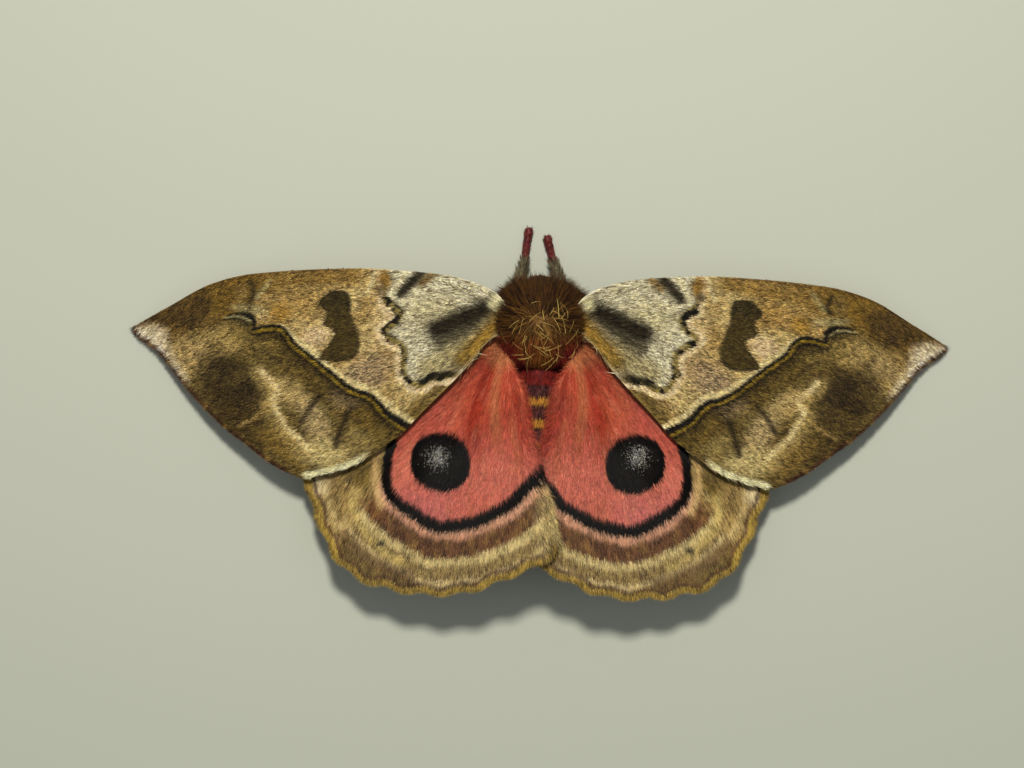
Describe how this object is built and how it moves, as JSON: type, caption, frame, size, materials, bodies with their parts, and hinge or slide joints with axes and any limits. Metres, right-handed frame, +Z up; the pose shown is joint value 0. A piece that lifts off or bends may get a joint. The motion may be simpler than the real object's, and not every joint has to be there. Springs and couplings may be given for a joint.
{
  "type": "life-size model of a resting silk moth (Automerella winbrechlini)",
  "caption": "Life-size still model of a silk moth at rest, mottled forewings parted to show red hindwings with an eyespot, standing on its feet.",
  "frame": {"origin": "middle of the outline seen from above, at the level of the floor that the feet stand on", "axes": "+X to the moth's right wing tip, +Y towards its head, +Z up"},
  "size_m": [0.104, 0.0462, 0.0126],
  "materials": {
    "body_fur": "long soft brown fur, golden at its edges",
    "abdomen_fur": "dark red-brown fur with yellow rings",
    "eye": "glossy, fine facets",
    "antenna": "satin horn",
    "forewing_scales": "matt hair scales, mottled olive, beige and brown",
    "hindwing_scales": "matt hair scales, red with a black ring and eyespot",
    "leg": "short crimson fur over horn"
  },
  "bodies": {
    "root": {"abdomen": "abdomen_fur", "antenna_left": "antenna", "antenna_right": "antenna", "eye_left": "eye", "eye_right": "eye", "foreleg_left_femur": "leg", "foreleg_left_foot": "leg", "foreleg_left_tibia": "leg", "foreleg_right_femur": "leg", "foreleg_right_foot": "leg", "foreleg_right_tibia": "leg", "forewing_left": "forewing_scales", "forewing_right": "forewing_scales", "head": "body_fur", "hindleg_left_femur": "leg", "hindleg_left_foot": "leg", "hindleg_left_tibia": "leg", "hindleg_right_femur": "leg", "hindleg_right_foot": "leg", "hindleg_right_tibia": "leg", "hindwing_left": "hindwing_scales", "hindwing_right": "hindwing_scales", "midleg_left_femur": "leg", "midleg_left_foot": "leg", "midleg_left_tibia": "leg", "midleg_right_femur": "leg", "midleg_right_foot": "leg", "midleg_right_tibia": "leg", "thorax": "body_fur"}
  },
  "joints": []
}
